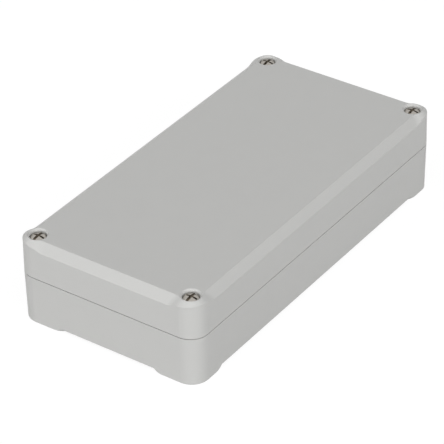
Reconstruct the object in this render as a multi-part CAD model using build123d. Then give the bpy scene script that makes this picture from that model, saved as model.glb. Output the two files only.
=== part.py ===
from build123d import *
import math
import os

# A moulded two-part instrument case: a shallow base, a bevelled lid and a seal between them,
# held together by four captive screws that turn into brass inserts in the base.
# X runs along the case, Y across it, Z up. The origin is the centre of the underside of the feet.
# All sizes are in millimetres and all angles in degrees.

# Outside, measured at the parting line, where both mouldings are widest
case_length = 160.4
case_width = 80.0
case_height = 35.0
lid_height = 15.15
corner_radius = 7.3
draft_angle = 0.75

# Lid screws and the raised bosses round their heads
screw_edge_x = 6.45
screw_edge_y = 6.2
counterbore_diameter = 6.5
counterbore_chamfer = 0.65
boss_top_radius = 4.1
boss_angle = 36.0
panel_past_screw_x = 2.7
panel_past_screw_y = 2.8
bevel_angle = 39.5
bevel_margin = 0.3
valley_radius = 4.5

# Walls, floor and top
base_wall = 3.2
floor_thickness = 3.0
top_thickness = 3.0

# Corner columns, which stand outside the seal
column_length = 10.3
column_width = 18.9
chamber_convex_radius = 3.0
chamber_concave_radius = 4.0

# Seal line: a tongue on the base presses a gasket into a groove in the lid
reveal_gap = 0.3
reveal_depth = 0.9
groove_land = 1.7
tongue_clearance = 0.2
lip_thickness = 1.2
tongue_height = 1.4
gasket_height = 1.2

# Feet, moulded on the base under its corners
foot_height = 1.5
foot_length = 19.2
foot_width = 22.5
foot_round = 7.0
foot_flank_angle = 30.0

# Wall-fixing holes, reached with the lid off
fixing_from_screw = 8.8
fixing_hole_diameter = 4.3
fixing_head_diameter = 8.5
fixing_seat_thickness = 2.6

# Pillars for a circuit board
board_pitch_x = 120.0
board_pitch_y = 60.0
pillar_diameter = 6.5
pillar_height = 5.0
pilot_diameter = 2.5
pilot_depth = 6.5

# Lid screw, its head seal and its insert
thread_diameter = 3.9
screw_length = 18.0
head_diameter = 6.0
head_height = 2.95
head_below_top = 0.5
crown_height = 0.5
crown_run = 1.6
slot_width = 1.2
slot_depth = 1.5
cross_width = 0.8
cross_length = 4.0
seal_thickness = 0.8
seal_side_gap = 0.3
turning_clearance = 0.05
lid_hole_clearance = 0.25
insert_wall = 0.8
insert_length = 8.0
insert_below_parting = 0.2

parting = case_height - lid_height
chamber_floor = foot_height + floor_thickness
screw_x = case_length / 2 - screw_edge_x
screw_y = case_width / 2 - screw_edge_y
fixing_y = screw_y - fixing_from_screw
head_top = case_height - head_below_top
head_under = head_top - head_height
seal_seat = head_under - seal_thickness
insert_bore_radius = thread_diameter / 2 + turning_clearance
insert_across_flats = 2 * (insert_bore_radius + insert_wall)
insert_top = parting - insert_below_parting
tongue_outer = groove_land + tongue_clearance
groove_inner = base_wall + tongue_clearance
groove_depth = tongue_height + gasket_height
lid_wall = groove_inner + lip_thickness
pillar_top = chamber_floor + pillar_height

CORNERS = {
    "front_left": (-1, -1),
    "front_right": (1, -1),
    "back_left": (-1, 1),
    "back_right": (1, 1),
}


def at_corners(solid, x, y):
    """Four copies of a solid that is modelled on the Z axis, one at each corner."""
    return [Pos(sx * x, sy * y, 0) * solid for sx, sy in CORNERS.values()]


def post(radius, low, high):
    """A round solid on the Z axis between two heights."""
    return Pos(0, 0, low) * Cylinder(radius, high - low, align=(Align.CENTER, Align.CENTER, Align.MIN))


def outside(inset=0.0):
    """The case's outline at the parting line, or one that lies the given distance inside it."""
    return RectangleRounded(case_length - 2 * inset, case_width - 2 * inset, corner_radius - inset)


def chamber(inset):
    """The sealed space's outline: the case's, drawn in by inset, less a notch for each corner column."""
    notch_x = case_length / 2 - column_length - inset
    notch_y = case_width / 2 - column_width - inset
    half_x = case_length / 2 - inset
    half_y = case_width / 2 - inset
    shape = Rectangle(2 * half_x, 2 * notch_y) + Rectangle(2 * notch_x, 2 * half_y)
    inner = shape.vertices().filter_by(lambda v: abs(v.X) < notch_x + 0.01 and abs(v.Y) < notch_y + 0.01)
    shape = fillet(inner, chamber_concave_radius + inset - base_wall)
    outer = shape.vertices().filter_by(lambda v: abs(v.X) > half_x - 0.01 or abs(v.Y) > half_y - 0.01)
    corners = outer.filter_by(
        lambda v: abs(abs(v.Y) - notch_y) < 0.01 or abs(abs(v.X) - notch_x) < 0.01)
    return fillet(corners, chamber_convex_radius + base_wall - inset)


def top_outline(drop):
    """The lid's top seen from above, at a depth below its flat panel: a rounded rectangle whose corners
    swell into a boss round each screw. The bevel and the bosses spread out, each at its own angle."""
    bevel = drop / math.tan(math.radians(bevel_angle))
    flank = drop / math.tan(math.radians(boss_angle))
    half_x = screw_x + panel_past_screw_x + bevel
    half_y = screw_y + panel_past_screw_y + bevel
    panel = RectangleRounded(2 * half_x, 2 * half_y, panel_past_screw_x + bevel)
    boss = Circle(boss_top_radius + flank)
    shape = panel + [Pos(sx * screw_x, sy * screw_y) * boss for sx, sy in CORNERS.values()]
    return Pos(0, 0, case_height - drop) * fillet(shape.vertices(), valley_radius)


def bevelled_block():
    """The lid's outside: drafted walls under a top that slopes down past them on every side."""
    widest = max(screw_edge_x - panel_past_screw_x, screw_edge_y - panel_past_screw_y)
    depth = (widest + bevel_margin) * math.tan(math.radians(bevel_angle))
    slope = loft([top_outline(depth), top_outline(0)], ruled=True)
    below = Pos(0, 0, parting) * extrude(Rectangle(2 * case_length, 2 * case_width), lid_height - depth)
    walls = Pos(0, 0, parting) * extrude(outside(), lid_height, taper=draft_angle)
    return walls & (slope + below)


def counterbore():
    """The space for a screw's head on the Z axis, chamfered at the top."""
    radius = counterbore_diameter / 2
    bore = post(radius, seal_seat, case_height)
    rim = Cone(radius, radius + counterbore_chamfer, counterbore_chamfer,
               align=(Align.CENTER, Align.CENTER, Align.MAX))
    return bore + Pos(0, 0, case_height) * rim


def make_lid():
    body = bevelled_block()
    hollow_height = lid_height - top_thickness
    body -= Pos(0, 0, parting) * extrude(chamber(lid_wall), hollow_height)
    groove = chamber(groove_land) - chamber(groove_inner)
    body -= Pos(0, 0, parting) * extrude(groove, groove_depth)
    edge = Rectangle(2 * case_length, 2 * case_width) - outside(reveal_depth)
    body -= Pos(0, 0, parting) * extrude(edge, reveal_gap)
    body -= at_corners(counterbore(), screw_x, screw_y)
    hole_radius = thread_diameter / 2 + lid_hole_clearance
    body -= at_corners(post(hole_radius, parting, seal_seat), screw_x, screw_y)
    return body


def foot_outline():
    """One foot seen from below, at the corner where X and Y are positive."""
    at_floor = outside(parting * math.tan(math.radians(draft_angle)))
    x, y = case_length / 2, case_width / 2
    patch = Pos(x, y) * Rectangle(2 * foot_length, 2 * foot_width)
    shape = at_floor & patch
    ends = shape.vertices().filter_by(
        lambda v: abs(v.X - x + foot_length) < 0.01 or abs(v.Y - y + foot_width) < 0.01)
    return fillet(ends, foot_round)


def feet_and_floor_block():
    """The base's outside: drafted walls that stop at the floor, and four feet with sloping flanks."""
    walls = Pos(0, 0, parting) * extrude(outside(), -parting, taper=draft_angle)
    upper = Pos(0, 0, foot_height) * extrude(Rectangle(2 * case_length, 2 * case_width), case_height)
    foot = extrude(foot_outline(), foot_height, taper=-foot_flank_angle)
    half = foot + mirror(foot, Plane.YZ)
    feet = half + mirror(half, Plane.XZ)
    return walls & (feet + upper)


def make_base():
    body = feet_and_floor_block()
    body -= Pos(0, 0, parting) * extrude(chamber(base_wall), chamber_floor - parting)
    tongue = chamber(tongue_outer) - chamber(base_wall)
    body += Pos(0, 0, parting) * extrude(tongue, tongue_height)
    body += board_pillars()
    pilot = post(pilot_diameter / 2, pillar_top - pilot_depth, pillar_top)
    body -= at_corners(pilot, board_pitch_x / 2, board_pitch_y / 2)
    body -= at_corners(hexagon(insert_top - insert_length, parting), screw_x, screw_y)
    fixing = post(fixing_hole_diameter / 2, 0, parting)
    fixing += post(fixing_head_diameter / 2, foot_height + fixing_seat_thickness, parting)
    body -= at_corners(fixing, screw_x, fixing_y)
    return body


def board_pillars():
    """Four pillars on the floor."""
    pillar = post(pillar_diameter / 2, chamber_floor, pillar_top)
    return at_corners(pillar, board_pitch_x / 2, board_pitch_y / 2)


def make_gasket():
    ring = chamber(groove_land) - chamber(groove_inner)
    return Pos(0, 0, parting + tongue_height) * extrude(ring, gasket_height)


def make_screw():
    """A captive screw with a low round head, slotted along X and crossed, and a plain stem for its thread."""
    tip = head_under - screw_length
    body = post(thread_diameter / 2, tip, head_under)
    head = post(head_diameter / 2, head_under, head_top)
    rim = head.edges().sort_by(Axis.Z)[-1]
    head = chamfer(rim, crown_height, crown_run, reference=head.faces().sort_by(Axis.Z)[1])
    slot = Pos(0, 0, head_top) * Box(head_diameter * 2, slot_width, 2 * slot_depth)
    cross = Pos(0, 0, head_top) * Box(cross_width, cross_length, 2 * slot_depth)
    return body + head - slot - cross


def make_seal():
    """A flat ring under the screw's head, which closes the lid's hole."""
    radius = counterbore_diameter / 2 - seal_side_gap
    return post(radius, seal_seat, head_under) - post(insert_bore_radius, seal_seat, head_under)


def hexagon(low, high):
    """The outline of a thread insert on the Z axis, six-sided so that it can't turn in its column."""
    outline = RegularPolygon(insert_across_flats / 2, 6, major_radius=False)
    return Pos(0, 0, low) * extrude(outline, high - low)


def make_insert():
    """A brass thread insert, moulded into the base's column."""
    low = insert_top - insert_length
    return hexagon(low, insert_top) - post(insert_bore_radius, low, insert_top)


def save(node, shape):
    shape.label = node
    export_step(shape, f"parts/{node}.step")


def main():
    os.makedirs("parts", exist_ok=True)
    save("base", make_base())
    save("lid", make_lid())
    save("gasket", make_gasket())
    screw, seal, insert = make_screw(), make_seal(), make_insert()
    for corner, (sx, sy) in CORNERS.items():
        place = Pos(sx * screw_x, sy * screw_y, 0)
        save(f"lid_screw_{corner}", place * screw)
        save(f"head_seal_{corner}", place * seal)
        save(f"thread_insert_{corner}", place * insert)


main()
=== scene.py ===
"""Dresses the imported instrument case: plastic, screws, seals, inserts and a plain studio."""
import math

import bmesh
import bpy
import numpy as np
from bpy.props import FloatProperty, FloatVectorProperty, PointerProperty
from bpy.types import Operator, Panel, PropertyGroup
from mathutils import Matrix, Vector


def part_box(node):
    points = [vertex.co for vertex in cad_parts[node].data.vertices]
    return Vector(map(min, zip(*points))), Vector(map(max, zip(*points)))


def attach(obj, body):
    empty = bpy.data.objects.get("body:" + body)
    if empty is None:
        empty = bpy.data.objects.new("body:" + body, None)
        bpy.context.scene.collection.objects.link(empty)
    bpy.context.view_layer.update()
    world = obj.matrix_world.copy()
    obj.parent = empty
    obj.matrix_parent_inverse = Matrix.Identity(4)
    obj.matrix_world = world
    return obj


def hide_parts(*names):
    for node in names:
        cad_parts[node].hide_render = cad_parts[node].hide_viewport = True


bl_info = {
    "name": "Instrument case",
    "version": (1, 0, 0),
    "blender": (4, 5, 0),
    "location": "View3D > Sidebar > Case",
    "description": "Finishes a moulded instrument case round its packed model in a plain studio",
    "category": "Add Mesh",
}

MM = 0.001
CORNERS = ("front_left", "front_right", "back_left", "back_right")

# Each softbox: its name, the direction in which it stands and its strength in watts
SOFTBOXES = (
    ("front_left_softbox", (-0.7, -0.7, 0.25), 28.2),
    ("left_softbox", (-1.0, 0.0, 0.1), 43.1),
    ("back_left_softbox", (-0.436, 0.481, 0.761), 20.8),
    ("front_softbox", (-0.1, -1.0, 0.5), 23.2),
    ("overhead_softbox", (-0.195, -0.388, 0.902), 20.0),
)
# A light on the sides that face away from the others, which gives no highlight
FILL = ("back_right_fill", (0.8, 0.6, 0.08), 28.0)

# The camera's sensor width in millimetres, and how near and how far it sees in metres
SENSOR_WIDTH = 36
CLIP_START, CLIP_END = 0.01, 20

# How far the floor reaches from the case's middle on each side, in metres, and its colour
FLOOR_REACH = 4.0
FLOOR_GREY = (0.4, 0.4, 0.4)
WHITE = (1, 1, 1, 1)

# Points of a piece that lie closer than this become one
MERGE_DISTANCE = 0.0001 * MM
# Edges that bend by more than this are shown sharp
SHARP_ANGLE = math.radians(38)

# How far apart the rings of a wave texture are at a scale of 1
WAVE_SPACING = 0.314

# Share of a thread's pitch that is flat at the crest, and again at the root
THREAD_FLAT = 0.12
# Rows of a threaded surface in one turn of its thread
THREAD_ROWS = 11

# A screw's rows along the cross's arm, from there to the head's rim, and down the waist
ARM_ROWS, RIM_ROWS, WAIST_ROWS = 8, 14, 8
# A screw's columns in a quarter turn: steps over the slot's floor, its wall, the land between the
# recesses, the cross's wall and the cross's floor
QUARTER_STEPS = np.array([3, 1, 8, 1, 2])
# How far the rows stand from the recess's walls, as a share of the radius there
WALL_GAP = 0.01
# Share of the cross's depth by which its floor rises from the axis to the arms' ends
CROSS_RISE = 0.75
# The steel has no painted shade from the top down to this share of the crown's fall; below it a
# painted shade darkens it towards the recess's floor
UNSHADED_FALL = 0.9

# Rows round the section of a head seal and of the gasket, and columns round a head seal, along
# each bend of the gasket and round an insert
SEAL_ROWS, GASKET_ROWS = 24, 20
SEAL_COLUMNS, BEND_COLUMNS, INSERT_COLUMNS = 72, 9, 120

# Rows up an insert's outside: the share of its height, and the part of the outline there
INSERT_ROWS = (
    (0, "chamfer"), (0.03, "side"), (0.27, "side"),
    (0.3, "groove"), (0.42, "groove"), (0.45, "side"), (0.57, "side"),
    (0.6, "groove"), (0.72, "groove"), (0.75, "side"), (0.97, "side"), (1, "chamfer"),
)
INSERT_CHAMFER = 0.15 * MM
# The insert's width as a share of the hole's, so that its sides don't touch the plastic
INSERT_FIT = 0.998
# The mouths at the ends of an insert's bore: their length, and the share of the thread's depth
# by which they narrow over it
MOUTH_LENGTH = 0.5 * MM
MOUTH_NARROWING = 0.999

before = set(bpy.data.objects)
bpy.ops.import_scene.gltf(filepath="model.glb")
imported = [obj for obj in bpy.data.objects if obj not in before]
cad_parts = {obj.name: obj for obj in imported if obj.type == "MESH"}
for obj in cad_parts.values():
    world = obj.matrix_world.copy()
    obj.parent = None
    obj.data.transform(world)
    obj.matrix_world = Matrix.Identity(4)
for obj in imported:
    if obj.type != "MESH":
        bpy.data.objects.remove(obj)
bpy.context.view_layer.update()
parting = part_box("lid")[0].z
screw_boxes = {corner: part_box(f"lid_screw_{corner}") for corner in CORNERS}


class CasePlastic(PropertyGroup):
    """The moulded plastic of the lid and the base"""
    color: FloatVectorProperty(
        name="Colour", description="Light grey of the lid and base", subtype="COLOR", size=3,
        default=(0.543, 0.543, 0.531), min=0, max=1)
    roughness: FloatProperty(
        name="Roughness", description="Roughness of the eroded mould finish", default=0.5,
        min=0, max=1)
    grain: FloatProperty(
        name="Grain", description="Size of the mould's fine grain", default=0.16 * MM,
        unit="LENGTH", precision=5)
    grain_depth: FloatProperty(
        name="Grain depth", description="Height of the fine grain", default=0.006 * MM,
        unit="LENGTH", precision=6)
    edge_radius: FloatProperty(
        name="Edge radius", description="Rounding of the moulded edges", default=0.25 * MM,
        unit="LENGTH", precision=5)


class CaseScrews(PropertyGroup):
    """The captive screws"""
    color: FloatVectorProperty(
        name="Colour", description="Bare stainless steel", subtype="COLOR", size=3,
        default=(0.42, 0.395, 0.36), min=0, max=1)
    # Painted shade: a darker, warmer steel colour painted at the bottom of the slot and cross,
    # where shade falls
    recess_painted_shade: FloatVectorProperty(
        name="Recess colour", description="Steel at the bottom of the slot and cross",
        subtype="COLOR", size=3, default=(0.40, 0.365, 0.315), min=0, max=1)
    roughness: FloatProperty(
        name="Roughness", description="Roughness of the turned heads", default=0.32,
        min=0, max=1)
    pitch: FloatProperty(
        name="Thread pitch", description="Rise of the thread in one turn", default=0.7 * MM,
        unit="LENGTH", precision=4)
    thread_depth: FloatProperty(
        name="Thread depth", description="Depth of the thread's groove", default=0.4 * MM,
        unit="LENGTH", precision=4)
    thread_length: FloatProperty(
        name="Threaded length", description="Length of thread up from the tip",
        default=9.0 * MM, unit="LENGTH", precision=4)
    stem_radius: FloatProperty(
        name="Stem radius", description="Radius over the thread's crests", default=1.95 * MM,
        unit="LENGTH", precision=4)
    shank_radius: FloatProperty(
        name="Shank radius", description="Radius of the waist that keeps the screw in the lid",
        default=1.6 * MM, unit="LENGTH", precision=4)
    shoulder_drop: FloatProperty(
        name="Shoulder drop", description="Depth of the head's shoulder under its crown",
        default=0.75 * MM, unit="LENGTH", precision=4)
    crown_power: FloatProperty(
        name="Crown power", description="Form of the crown: 0.5 is an ellipse and 1 a parabola",
        default=0.8, min=0.3, max=1)
    edge_bevel: FloatProperty(
        name="Edge bevel", description="Bevel on the head's underside and at the waist",
        default=0.2 * MM, unit="LENGTH", precision=4)
    slot_width: FloatProperty(
        name="Slot width", description="Width of the driver slot", default=1.0 * MM,
        unit="LENGTH", precision=4)
    slot_depth: FloatProperty(
        name="Slot depth", description="Depth of the driver slot", default=1.25 * MM,
        unit="LENGTH", precision=4)
    cross_width: FloatProperty(
        name="Cross width", description="Width of the cross arms", default=0.7 * MM,
        unit="LENGTH", precision=4)
    cross_depth: FloatProperty(
        name="Cross depth", description="Depth of the cross at the axis", default=1.9 * MM,
        unit="LENGTH", precision=4)
    cross_reach: FloatProperty(
        name="Cross reach", description="Length of a cross arm from the axis",
        default=2.6 * MM, unit="LENGTH", precision=4)
    wall_slope: FloatProperty(
        name="Wall slope", description="Lean of the recess's walls between floor and crown",
        default=0.06 * MM, unit="LENGTH", precision=4)


class CaseSeals(PropertyGroup):
    """The gasket and the head seals"""
    color: FloatVectorProperty(
        name="Colour", description="Dark rubber", subtype="COLOR", size=3,
        default=(0.02, 0.02, 0.021), min=0, max=1)
    roughness: FloatProperty(
        name="Roughness", description="Roughness of the rubber", default=0.62, min=0, max=1)
    bore_radius: FloatProperty(
        name="Bore radius", description="Radius of the hole in a head seal",
        default=2.03 * MM, unit="LENGTH", precision=4)
    width: FloatProperty(
        name="Gasket width", description="Width of the gasket between lid and base",
        default=1.7 * MM, unit="LENGTH", precision=4)
    column_length: FloatProperty(
        name="Column length",
        description="Reach along X of the corner columns that the gasket goes round",
        default=10.3 * MM, unit="LENGTH", precision=4)
    column_width: FloatProperty(
        name="Column width",
        description="Reach along Y of the corner columns that the gasket goes round",
        default=18.9 * MM, unit="LENGTH", precision=4)
    outer_bend: FloatProperty(
        name="Outer bend", description="Radius of the gasket's middle line at its outer corners",
        default=3.65 * MM, unit="LENGTH", precision=4)
    inner_bend: FloatProperty(
        name="Inner bend", description="Radius of the gasket's middle line at its inner corners",
        default=3.35 * MM, unit="LENGTH", precision=4)


class CaseInserts(PropertyGroup):
    """The brass thread inserts"""
    color: FloatVectorProperty(
        name="Colour", description="Turned brass", subtype="COLOR", size=3,
        default=(0.62, 0.42, 0.16), min=0, max=1)
    roughness: FloatProperty(
        name="Roughness", description="Roughness of the brass", default=0.28, min=0, max=1)
    bore_radius: FloatProperty(
        name="Bore radius", description="Radius at the crests of the inside thread",
        default=2.0 * MM, unit="LENGTH", precision=4)
    thread_depth: FloatProperty(
        name="Thread depth", description="Depth of the inside thread's groove",
        default=0.25 * MM, unit="LENGTH", precision=4)
    groove_depth: FloatProperty(
        name="Groove depth", description="Depth of the retaining grooves", default=0.3 * MM,
        unit="LENGTH", precision=4)


class CaseStage(PropertyGroup):
    """The camera, the lights and the floor"""
    azimuth: FloatProperty(
        name="Azimuth", description="Where the camera stands, turned from the front",
        subtype="ANGLE", default=math.radians(-54.463))
    elevation: FloatProperty(
        name="Elevation", description="Height of the camera over the horizon",
        subtype="ANGLE", default=math.radians(34.130))
    roll: FloatProperty(
        name="Roll", description="Lean of the camera", subtype="ANGLE",
        default=math.radians(-1.140))
    distance: FloatProperty(
        name="Distance", description="From the aim point to the camera", default=932.094 * MM,
        unit="LENGTH")
    aim_right: FloatProperty(
        name="Aim right", description="Aim point, to the camera's right of the case's middle",
        default=-3.990 * MM, unit="LENGTH", precision=5)
    aim_up: FloatProperty(
        name="Aim up", description="Aim point, above the parting line in the camera's view",
        default=-7.191 * MM, unit="LENGTH", precision=5)
    lens: FloatProperty(
        name="Lens", description="Focal length in millimetres", default=200.553, unit="CAMERA")
    lamp_distance: FloatProperty(
        name="Lamp distance", description="How far each softbox stands from the case",
        default=3.0, unit="LENGTH")
    lamp_size: FloatProperty(
        name="Lamp size", description="Width of each square softbox", default=1.8,
        unit="LENGTH")
    ambient: FloatProperty(
        name="Ambient", description="Strength of the white surroundings", default=0.2, min=0)
    lamps: FloatProperty(
        name="Lamps", description="Strength of the softboxes", default=1.0, min=0)
    floor_glow: FloatProperty(
        name="Floor glow", description="Brightness that the white floor has by itself",
        default=1.24, min=0)
    floor_shadow: FloatProperty(
        name="Floor shadow", description="How much of the case's shadow the floor shows",
        default=0.25, min=0, max=1)


def screw_axis(corner):
    """The X and Y of a corner's screw axis."""
    low, high = screw_boxes[corner]
    return np.array([(low.x + high.x) / 2, (low.y + high.y) / 2])


def shader_material(name, color, roughness, metallic=0.0):
    """A material with its main shader, and the nodes and links to add to."""
    material = bpy.data.materials.new(name)
    material.use_nodes = True
    nodes, links = material.node_tree.nodes, material.node_tree.links
    shader = nodes["Principled BSDF"]
    shader.inputs["Base Color"].default_value = (*color, 1)
    shader.inputs["Roughness"].default_value = roughness
    shader.inputs["Metallic"].default_value = metallic
    return material, nodes, links, shader


def object_place(nodes):
    """The place on the object, in metres."""
    return nodes.new("ShaderNodeTexCoord").outputs["Object"]


def centred_place(nodes, links, corner):
    """The place on the object, moved so that a corner's screw axis is the Z axis."""
    mapping = nodes.new("ShaderNodeMapping")
    mapping.inputs["Location"].default_value = (*(-screw_axis(corner)), 0)
    links.new(object_place(nodes), mapping.inputs["Vector"])
    return mapping.outputs["Vector"]


def noise(nodes, links, place, size):
    """A pattern of 0 to 1 whose blotches are about the given size in metres."""
    node = nodes.new("ShaderNodeTexNoise")
    node.inputs["Scale"].default_value = 1 / size
    node.inputs["Detail"].default_value = 2.0
    links.new(place, node.inputs["Vector"])
    return node.outputs["Fac"]


def vary(nodes, links, pattern, color, shade):
    """A colour that a pattern moves between the given one and that colour times shade."""
    mix = nodes.new("ShaderNodeMix")
    mix.data_type = "RGBA"
    mix.inputs["A"].default_value = (*color, 1)
    mix.inputs["B"].default_value = (*(c * shade for c in color), 1)
    links.new(pattern, mix.inputs["Factor"])
    return mix.outputs["Result"]


def emboss(nodes, links, shader, pattern, depth, strength=0.5):
    """The bump node through which a pattern raises a shader's surface, by a depth in metres."""
    bump = nodes.new("ShaderNodeBump")
    bump.inputs["Strength"].default_value = strength
    bump.inputs["Distance"].default_value = depth
    links.new(pattern, bump.inputs["Height"])
    links.new(bump.outputs["Normal"], shader.inputs["Normal"])
    return bump


def turned_finish(nodes, links, shader, place, spacing):
    """Fine rings of tool marks round the axis, a little uneven, as a bump."""
    rings = nodes.new("ShaderNodeTexWave")
    rings.wave_type = "RINGS"
    rings.rings_direction = "Z"
    rings.inputs["Scale"].default_value = WAVE_SPACING / spacing
    rings.inputs["Distortion"].default_value = 0.6
    rings.inputs["Detail"].default_value = 1.0
    links.new(place, rings.inputs["Vector"])
    emboss(nodes, links, shader, rings.outputs["Fac"], depth=0.01 * MM)


def plastic_material(settings):
    """Moulded plastic: fine eroded grain, faint mottling, uneven gloss and rounded edges."""
    roughness, spread = settings.roughness, 0.05
    material, nodes, links, shader = shader_material(
        "plastic_light_grey", settings.color, roughness)
    place = object_place(nodes)
    mottle = noise(nodes, links, place, size=9 * MM)
    mottled = vary(nodes, links, mottle, settings.color, shade=0.975)
    links.new(mottled, shader.inputs["Base Color"])
    gloss = nodes.new("ShaderNodeMapRange")
    gloss.inputs["To Min"].default_value = roughness - spread
    gloss.inputs["To Max"].default_value = roughness + spread
    links.new(noise(nodes, links, place, size=3 * MM), gloss.inputs["Value"])
    links.new(gloss.outputs["Result"], shader.inputs["Roughness"])
    rounded = nodes.new("ShaderNodeBevel")
    rounded.samples = 8
    rounded.inputs["Radius"].default_value = settings.edge_radius
    grain = noise(nodes, links, place, settings.grain)
    bump = emboss(nodes, links, shader, grain, settings.grain_depth, strength=0.6)
    links.new(rounded.outputs["Normal"], bump.inputs["Normal"])
    return material


def steel_material(settings, corner):
    """Turned stainless steel, with a painted shade that makes it a little darker and warmer down
    in the slot and the cross.
    """
    material, nodes, links, shader = shader_material(
        f"stainless_steel_{corner}", settings.color, settings.roughness, metallic=1.0)
    place = centred_place(nodes, links, corner)
    turned_finish(nodes, links, shader, place, spacing=0.12 * MM)
    height = nodes.new("ShaderNodeSeparateXYZ")
    links.new(place, height.inputs["Vector"])
    crown = screw_boxes[corner][1].z
    # Painted shade: from the recess's floor up towards the crown the colour goes from the darker,
    # warmer recess shade to the steel's own
    shade_fade = nodes.new("ShaderNodeMapRange")
    shade_fade.inputs["From Min"].default_value = crown - settings.slot_depth
    shade_fade.inputs["From Max"].default_value = crown - settings.shoulder_drop * UNSHADED_FALL
    links.new(height.outputs["Z"], shade_fade.inputs["Value"])
    painted_shade_mix = nodes.new("ShaderNodeMix")
    painted_shade_mix.data_type = "RGBA"
    painted_shade_mix.inputs["A"].default_value = (*settings.recess_painted_shade, 1)
    links.new(shade_fade.outputs["Result"], painted_shade_mix.inputs["Factor"])
    mottle = noise(nodes, links, place, size=0.8 * MM)
    mottled = vary(nodes, links, mottle, settings.color, shade=0.85)
    links.new(mottled, painted_shade_mix.inputs["B"])
    links.new(painted_shade_mix.outputs["Result"], shader.inputs["Base Color"])
    return material


def rubber_material(settings):
    """Matt dark rubber with a fine mould texture and a dusty bloom."""
    material, nodes, links, shader = shader_material(
        "rubber_black", settings.color, settings.roughness)
    place = object_place(nodes)
    bloom = noise(nodes, links, place, size=4 * MM)
    dusty = vary(nodes, links, bloom, settings.color, shade=1.8)
    links.new(dusty, shader.inputs["Base Color"])
    texture = noise(nodes, links, place, size=0.15 * MM)
    emboss(nodes, links, shader, texture, depth=0.01 * MM)
    return material


def brass_material(settings, corner):
    """Turned brass, a little tarnished in patches."""
    material, nodes, links, shader = shader_material(
        f"brass_{corner}", settings.color, settings.roughness, metallic=1.0)
    place = centred_place(nodes, links, corner)
    turned_finish(nodes, links, shader, place, spacing=0.15 * MM)
    tarnish = noise(nodes, links, place, size=1.2 * MM)
    tarnished = vary(nodes, links, tarnish, settings.color, shade=0.7)
    links.new(tarnished, shader.inputs["Base Color"])
    return material


def dress(node, material):
    """Gives a CAD node one material in place of those it has."""
    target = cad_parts[node]
    target.data.materials.clear()
    target.data.materials.append(material)


def link(thing):
    """Puts an object in the scene and hands it back."""
    bpy.context.scene.collection.objects.link(thing)
    return thing


def surface(name, points, material, body, node, around=False):
    """A grid of points as a closed mesh that stands for a CAD node. Each row of the grid closes
    on itself, around=True closes the columns too, and points that meet, as at a pole, become
    one."""
    rows, columns = points.shape[:2]
    index = np.arange(rows * columns).reshape(rows, columns)
    below = np.roll(index, -1, axis=0) if around else index[1:]
    above = index if around else index[:-1]
    faces = np.stack([above, np.roll(above, -1, 1), np.roll(below, -1, 1), below], -1)
    faces = faces.reshape(-1, 4)
    data = bpy.data.meshes.new(name)
    data.vertices.add(rows * columns)
    data.vertices.foreach_set("co", points.ravel())
    data.loops.add(faces.size)
    data.loops.foreach_set("vertex_index", faces.ravel())
    data.polygons.add(len(faces))
    data.polygons.foreach_set("loop_start", np.arange(0, faces.size, 4))
    data.update(calc_edges=True)
    shell = bmesh.new()
    shell.from_mesh(data)
    bmesh.ops.remove_doubles(shell, verts=shell.verts, dist=MERGE_DISTANCE)
    bmesh.ops.dissolve_degenerate(shell, edges=shell.edges, dist=MERGE_DISTANCE)
    bmesh.ops.recalc_face_normals(shell, faces=shell.faces)
    shell.to_mesh(data)
    shell.free()
    data.shade_smooth()
    data.set_sharp_from_angle(angle=SHARP_ANGLE)
    data.materials.append(material)
    piece = link(bpy.data.objects.new(name, data))
    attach(piece, body)
    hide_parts(node)


def full_turn(steps):
    """Angles evenly round a full turn."""
    return np.linspace(0, math.tau, steps, endpoint=False)


def polar(centre, angles, radii, heights):
    """Points at angles and radii round a vertical axis, at the given heights."""
    angles, radii, heights = np.broadcast_arrays(angles, radii, heights)
    x = centre[0] + radii * np.cos(angles)
    y = centre[1] + radii * np.sin(angles)
    return np.stack([x, y, heights], -1)


def rounded_section(steps, power):
    """A closed outline from -1 to 1 as columns of x and z, with |x| ** power + |z| ** power = 1:
    the cosine and the sine of an angle, each to the power of 2 / power with its sign kept."""
    angles = full_turn(steps)[:, None]
    x, z = np.cos(angles), np.sin(angles)
    return np.sign(x) * np.abs(x) ** (2 / power), np.sign(z) * np.abs(z) ** (2 / power)


def ramp(values, start, end):
    """0 before start, 1 after end and a straight line between."""
    return np.clip((values - start) / (end - start), 0, 1)


def thread_groove(phase):
    """How deep a V thread is at a phase of 0 to 1 along its pitch: 0 on the crest's flat round a
    phase of a half, 1 on the root's flat round 0 and 1, and a straight line between."""
    return ramp(np.abs(2 * (phase % 1) - 1), THREAD_FLAT, 1 - THREAD_FLAT)


def recess_core(settings):
    """The radius of the pit where the slot and the cross meet."""
    return np.hypot(settings.slot_width, settings.cross_width) / 2


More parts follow.
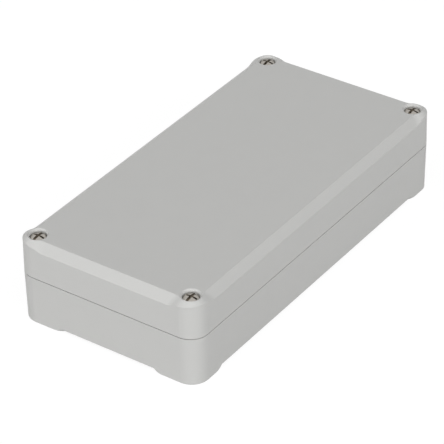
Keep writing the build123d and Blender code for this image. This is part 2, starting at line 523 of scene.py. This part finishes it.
def recess_angles(settings, radii):
    """The angles of a screw's columns at each radius, and each column's kind: slot, land or cross.
    One quarter goes from the middle of the slot on +X to the middle of the cross on +Y, and is
    mirrored into the others. The slot's wall is where radius * sin(angle) is half the slot's
    width, and the cross's wall is where radius * cos(angle) is half the cross's width. Inside the
    pit the angles stay as they are at its rim."""
    reach = np.maximum(radii, (1 + 2 * WALL_GAP) * recess_core(settings))
    slot = np.arcsin(settings.slot_width / 2 / reach)
    cross = math.pi / 2 - np.arcsin(settings.cross_width / 2 / reach)
    wall = settings.wall_slope / reach
    start, end = np.zeros_like(reach), np.full_like(reach, math.pi / 2)
    knots = np.stack([start, slot, slot + wall, cross - wall, cross, end], -1)
    starts = np.concatenate([[0], np.cumsum(QUARTER_STEPS)])
    steps = np.arange(starts[-1] + 1)
    stretch = np.searchsorted(starts[:-1], steps, side="right") - 1
    share = (steps - starts[stretch]) / QUARTER_STEPS[stretch]
    quarter = knots[:, stretch] * (1 - share) + knots[:, stretch + 1] * share
    kinds = np.repeat(["slot", "land", "cross"], QUARTER_STEPS[::2] + 1)
    half = np.concatenate([quarter[:, :-1], math.pi - quarter[:, :0:-1]], 1)
    half_kinds = np.concatenate([kinds[:-1], kinds[:0:-1]])
    return np.concatenate([half, half + math.pi], 1), np.tile(half_kinds, 2)


def cut_recess(settings, top, radii, kinds, heights):
    """A head's heights with the slot and the cross sunk into them. The slot's floor is level, and
    the cross's floor rises from a pit at the axis with the square of the radius."""
    in_pit = radii < recess_core(settings)
    in_cross = in_pit | ((kinds == "cross") & (radii < settings.cross_reach))
    rise = CROSS_RISE * (radii / settings.cross_reach) ** 2
    cross_floor = top - settings.cross_depth * (1 - rise)
    slot_floor = np.minimum(top - settings.slot_depth, heights)
    cut = np.where(kinds == "slot", slot_floor, heights)
    return np.where(in_cross, np.minimum(cross_floor, cut), cut)


def screw_profile(settings, corner):
    """A screw's outline as radii and heights: the crown from the axis out, the side of the head,
    its underside, the stem and the tip. The crown's height is shoulder + drop * (1 - share ** 2)
    ** power, where share is the radius over the head's. Returns the number of rows on the crown
    and on the head too."""
    low, high = screw_boxes[corner]
    head, tip = (high.x - low.x) / 2, low.z
    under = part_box(f"head_seal_{corner}")[1].z
    core, reach = recess_core(settings), settings.cross_reach
    inside, outside = 1 - WALL_GAP, 1 + WALL_GAP
    pit = [0, core / 2, inside * core]
    arm = np.linspace(outside * core, inside * reach, ARM_ROWS)
    rim = np.sin(np.linspace(math.asin(outside * reach / head), math.pi / 2, RIM_ROWS))
    crown = np.concatenate([pit, arm, head * rim])
    shoulder = high.z - settings.shoulder_drop
    fall = np.clip(1 - (crown / head) ** 2, 0, 1) ** settings.crown_power
    crown_z = shoulder + settings.shoulder_drop * fall
    bevel, shank = settings.edge_bevel, settings.shank_radius
    side = np.array([[head, high.z - settings.slot_depth], [head, under + bevel],
                     [head - bevel, under], [shank + bevel, under], [shank, under - bevel]])
    thread_top = tip + settings.thread_length
    waist_z = np.linspace(under - 2 * bevel, thread_top, WAIST_ROWS)
    turns = settings.thread_length / settings.pitch
    thread_z = np.linspace(thread_top, tip, int(THREAD_ROWS * turns))[1:]
    stem_z = np.concatenate([waist_z, thread_z])
    stem = np.full(len(stem_z), settings.stem_radius)
    radii = np.concatenate([crown, side[:, 0], stem, [0]])
    heights = np.concatenate([crown_z, side[:, 1], stem_z, [tip]])
    return radii[:, None], heights[:, None], len(crown), len(crown) + len(side)


def screw_points(settings, corner):
    """A screw as one grid whose rows follow its profile. The thread is a V groove whose bottom is
    where height / pitch - angle / turn is a whole number, and it fades out at the waist and the
    tip."""
    radii, heights, crown_rows, head_rows = screw_profile(settings, corner)
    angles, kinds = recess_angles(settings, radii[:, 0])
    top, tip = heights.max(), heights.min()
    heights = np.broadcast_to(heights, angles.shape).copy()
    heights[:crown_rows] = cut_recess(
        settings, top, radii[:crown_rows], kinds, heights[:crown_rows])
    thread_top = tip + settings.thread_length
    full = ramp(heights, thread_top, thread_top - settings.pitch)
    crest = settings.shank_radius + (settings.stem_radius - settings.shank_radius) * full
    phase = heights / settings.pitch - angles / math.tau
    groove = settings.thread_depth * thread_groove(phase)
    point = settings.thread_depth * (1 - ramp(heights, tip, tip + settings.thread_depth))
    spread = np.broadcast_to(radii, angles.shape).copy()
    spread[head_rows:-1] = (crest - groove * full - point)[head_rows:-1]
    return polar(screw_axis(corner), angles, spread, heights)


def seal_points(settings, corner):
    """A head seal: a ring whose rounded section is |x| ** 3 + |z| ** 3 = 1 before it is scaled."""
    low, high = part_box(f"head_seal_{corner}")
    outer, inner = (high.x - low.x) / 2, settings.bore_radius
    across, up = rounded_section(SEAL_ROWS, 3)
    radii = (outer + inner) / 2 + (outer - inner) / 2 * across
    heights = (low.z + high.z) / 2 + (high.z - low.z) / 2 * up
    return polar(screw_axis(corner), full_turn(SEAL_COLUMNS), radii, heights)


def insert_points(settings, screws, corner):
    """A thread insert: rows go up its six-sided outside, past two retaining grooves, over its top,
    down its threaded bore and under it. A side's radius is the half width across flats over the
    cosine of the angle from the middle of the side."""
    low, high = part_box(f"thread_insert_{corner}")
    flat = min(high.x - low.x, high.y - low.y) / 2
    turned = 0 if high.x - low.x > high.y - low.y else math.pi / 6
    angles = full_turn(INSERT_COLUMNS)
    side = INSERT_FIT * flat / np.cos((angles + turned) % (math.pi / 3) - math.pi / 6)
    share, part = (np.array(column)[:, None] for column in zip(*INSERT_ROWS))
    grooved = np.minimum(side, flat - settings.groove_depth)
    chamfered = side - INSERT_CHAMFER * (part == "chamfer")
    outside = np.where(part == "groove", grooved, chamfered)
    rise = high.z - low.z
    outside_z = low.z + share * rise
    bore_rows = int(rise / screws.pitch * THREAD_ROWS)
    bore_z = np.linspace(high.z, low.z, bore_rows)[:, None]
    inner = ramp(bore_z, low.z, low.z + MOUTH_LENGTH) * ramp(bore_z, high.z, high.z - MOUTH_LENGTH)
    groove = thread_groove(bore_z / screws.pitch - angles / math.tau)
    depth = np.where(inner < 1, 1 - MOUTH_NARROWING * inner, groove)
    bore = settings.bore_radius + settings.thread_depth * depth
    radii, heights = np.concatenate([outside, bore]), np.concatenate([outside_z, bore_z])
    return polar(screw_axis(corner), angles, radii, heights)


def gasket_path(settings, half_x, half_y):
    """The gasket's middle line and its outward direction at each point. It follows the walls and
    turns in round the four corner columns: each corner is a quarter circle between the lines that
    meet there."""
    notch_x, notch_y = half_x - settings.column_length, half_y - settings.column_width
    quarter = np.array([[notch_x, -half_y], [notch_x, -notch_y], [half_x, -notch_y]])
    right = np.concatenate([quarter, quarter[::-1] * [1, -1]])
    corners = np.concatenate([right, -right])
    bends = np.tile([settings.outer_bend, settings.inner_bend, settings.outer_bend], 4)
    bends = bends[:, None, None]
    coming = corners - np.roll(corners, 1, axis=0)
    coming = (coming / np.linalg.norm(coming, axis=1, keepdims=True))[:, None]
    leaving = np.roll(coming, -1, axis=0)
    steps = np.linspace(0, math.pi / 2, BEND_COLUMNS)[None, :, None]
    spoke = coming * np.sin(steps) - leaving * np.cos(steps)
    centre = corners[:, None] + (leaving - coming) * bends
    side = np.sign(coming[..., 0] * leaving[..., 1] - coming[..., 1] * leaving[..., 0])
    outward = spoke * side[..., None]
    return (centre + spoke * bends).reshape(-1, 2), outward.reshape(-1, 2)


def gasket_points(settings):
    """The gasket: a rounded section, |x| ** 4 + |z| ** 4 = 1 before it is scaled, carried along
    its middle line."""
    low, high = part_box("gasket")
    half = settings.width / 2
    path, outward = gasket_path(settings, high.x - half, high.y - half)
    across, up = rounded_section(GASKET_ROWS, 4)
    flat = path + outward * (half * across)[..., None]
    heights = (low.z + high.z) / 2 + (high.z - low.z) / 2 * up
    heights = np.broadcast_to(heights, flat.shape[:2])
    return np.concatenate([flat, heights[..., None]], -1)


def placement(right, up, back, place):
    """The matrix of something that stands at a place, with its axes along three directions."""
    matrix = np.eye(4)
    matrix[:3] = np.stack([right, up, back, place], -1)
    return Matrix(matrix.tolist())


def look_axes(stage):
    """The camera's right, up and back directions from its azimuth, elevation and roll."""
    azimuth, elevation, roll = stage.azimuth, stage.elevation, stage.roll
    back = np.array([math.sin(azimuth) * math.cos(elevation),
                     -math.cos(azimuth) * math.cos(elevation), math.sin(elevation)])
    level = np.array([math.cos(azimuth), math.sin(azimuth), 0.0])
    up = np.cross(back, level)
    right = math.cos(roll) * level + math.sin(roll) * up
    return right, -math.sin(roll) * level + math.cos(roll) * up, back


def add_camera(stage):
    """A camera that looks at the case along the stage's angles, from its distance."""
    right, up, back = look_axes(stage)
    place = back * stage.distance + right * stage.aim_right + up * stage.aim_up
    place[2] += parting
    data = bpy.data.cameras.new("camera")
    data.lens = stage.lens
    data.sensor_width = SENSOR_WIDTH
    data.clip_start, data.clip_end = CLIP_START, CLIP_END
    camera = link(bpy.data.objects.new("camera", data))
    camera.matrix_world = placement(right, up, back, place)
    bpy.context.scene.camera = camera


def add_softbox(stage, name, direction, watts):
    """A square lamp that stands in a direction from the case and faces it."""
    back = np.array(direction) / np.linalg.norm(direction)
    side = np.cross([0, 0, 1], back)
    side /= np.linalg.norm(side)
    data = bpy.data.lights.new(name, "AREA")
    data.size = stage.lamp_size
    data.energy = watts * stage.lamps
    lamp = link(bpy.data.objects.new(name, data))
    lamp.matrix_world = placement(side, np.cross(back, side), back, back * stage.lamp_distance)
    return lamp


def seen(nodes, links):
    """1 for a ray that comes from the camera or from a reflection or glass, and 0 for light."""
    path = nodes.new("ShaderNodeLightPath")
    value = path.outputs["Is Camera Ray"]
    for name in ("Is Glossy Ray", "Is Transmission Ray"):
        either = nodes.new("ShaderNodeMath")
        either.operation = "MAXIMUM"
        links.new(value, either.inputs[0])
        links.new(path.outputs[name], either.inputs[1])
        value = either.outputs["Value"]
    return value


def blend(nodes, links, first, second):
    """A node that blends two shaders: a factor of 0 is all the first and 1 all the second."""
    mix = nodes.new("ShaderNodeMixShader")
    links.new(first, mix.inputs[1])
    links.new(second, mix.inputs[2])
    return mix


def add_surroundings(stage):
    """A world that lights the case evenly and looks white."""
    world = bpy.data.worlds.new("surroundings")
    bpy.context.scene.world = world
    world.use_nodes = True
    nodes, links = world.node_tree.nodes, world.node_tree.links
    light = nodes["Background"]
    light.inputs["Color"].default_value = WHITE
    light.inputs["Strength"].default_value = stage.ambient
    backdrop = nodes.new("ShaderNodeBackground")
    backdrop.inputs["Color"].default_value = WHITE
    mix = blend(nodes, links, light.outputs["Background"], backdrop.outputs["Background"])
    links.new(seen(nodes, links), mix.inputs["Fac"])
    links.new(mix.outputs["Shader"], nodes["World Output"].inputs["Surface"])


def add_floor(stage):
    """A floor under the feet that looks white and still shows the case's shadow faintly."""
    data = bpy.data.meshes.new("floor")
    low, high = -FLOOR_REACH, FLOOR_REACH
    corners = [(low, low, 0), (high, low, 0), (high, high, 0), (low, high, 0)]
    data.from_pydata(corners, [], [(0, 1, 2, 3)])
    floor = link(bpy.data.objects.new("floor", data))
    material, nodes, links, shader = shader_material("floor_white", FLOOR_GREY, roughness=0.9)
    lit = shader.outputs["BSDF"]
    glow = nodes.new("ShaderNodeEmission")
    glow.inputs["Strength"].default_value = stage.floor_glow
    shadowed = blend(nodes, links, glow.outputs["Emission"], lit)
    shadowed.inputs["Fac"].default_value = stage.floor_shadow
    visible = blend(nodes, links, lit, shadowed.outputs["Shader"])
    links.new(seen(nodes, links), visible.inputs["Fac"])
    links.new(visible.outputs["Shader"], nodes["Material Output"].inputs["Surface"])
    data.materials.append(material)


class CASE_OT_housing(Operator):
    """Finish the lid and base as moulded plastic"""
    bl_idname = "case.housing"
    bl_label = "Housing"

    def execute(self, context):
        material = plastic_material(context.scene.case_plastic)
        for node in ("base", "lid"):
            dress(node, material)
        return {"FINISHED"}


class CASE_OT_screws(Operator):
    """Make the four captive screws with their slots, crosses and threads"""
    bl_idname = "case.screws"
    bl_label = "Screws"

    def execute(self, context):
        settings = context.scene.case_screws
        for corner in CORNERS:
            surface(f"machine_screw_{corner}", screw_points(settings, corner),
                    steel_material(settings, corner),
                    f"screw_{corner}", f"lid_screw_{corner}")
        return {"FINISHED"}


class CASE_OT_seals(Operator):
    """Make the gasket and the four head seals in rubber"""
    bl_idname = "case.seals"
    bl_label = "Seals"

    def execute(self, context):
        settings = context.scene.case_seals
        material = rubber_material(settings)
        surface("lid_gasket", gasket_points(settings), material,
                "lid", "gasket", around=True)
        for corner in CORNERS:
            surface(f"sealing_ring_{corner}", seal_points(settings, corner), material,
                    f"seal_{corner}", f"head_seal_{corner}", around=True)
        return {"FINISHED"}


class CASE_OT_inserts(Operator):
    """Make the four brass thread inserts"""
    bl_idname = "case.inserts"
    bl_label = "Thread inserts"

    def execute(self, context):
        settings, screws = context.scene.case_inserts, context.scene.case_screws
        for corner in CORNERS:
            surface(f"brass_insert_{corner}", insert_points(settings, screws, corner),
                    brass_material(settings, corner),
                    "base", f"thread_insert_{corner}", around=True)
        return {"FINISHED"}


class CASE_OT_stage(Operator):
    """Set up the camera, the lamps, the white surroundings and the floor"""
    bl_idname = "case.stage"
    bl_label = "Stage"

    def execute(self, context):
        stage = context.scene.case_stage
        add_camera(stage)
        add_surroundings(stage)
        add_floor(stage)
        for name, direction, watts in SOFTBOXES:
            add_softbox(stage, name, direction, watts)
        add_softbox(stage, *FILL).visible_glossy = False
        context.scene.view_settings.view_transform = "Standard"
        return {"FINISHED"}


class CASE_PT_panel(Panel):
    """The buttons that make the pieces and the stage, each with its sizes and colours"""
    bl_idname = "CASE_PT_panel"
    bl_label = "Instrument case"
    bl_space_type = "VIEW_3D"
    bl_region_type = "UI"
    bl_category = "Case"

    def draw(self, context):
        for group, _, operator in GROUPS:
            box = self.layout.box()
            box.operator(operator.bl_idname)
            settings = getattr(context.scene, group)
            for name in settings.bl_rna.properties.keys():
                if name not in {"rna_type", "name"}:
                    box.prop(settings, name)


# Each group of settings: its name on the scene, its class and the operator that uses it
GROUPS = (
    ("case_plastic", CasePlastic, CASE_OT_housing),
    ("case_screws", CaseScrews, CASE_OT_screws),
    ("case_seals", CaseSeals, CASE_OT_seals),
    ("case_inserts", CaseInserts, CASE_OT_inserts),
    ("case_stage", CaseStage, CASE_OT_stage),
)
CLASSES = (*(cls for _, *pair in GROUPS for cls in pair), CASE_PT_panel)


def register():
    """Adds the classes, and the groups of settings to the scene."""
    for cls in CLASSES:
        bpy.utils.register_class(cls)
    for group, settings, _ in GROUPS:
        setattr(bpy.types.Scene, group, PointerProperty(type=settings))


def unregister():
    """Takes the groups of settings and the classes away again."""
    for group, _, _ in GROUPS:
        delattr(bpy.types.Scene, group)
    for cls in reversed(CLASSES):
        bpy.utils.unregister_class(cls)


def main():
    """Makes the pieces and the stage in order."""
    register()
    bpy.ops.case.housing()
    bpy.ops.case.screws()
    bpy.ops.case.seals()
    bpy.ops.case.inserts()
    bpy.ops.case.stage()


if __name__ == "__main__":
    main()
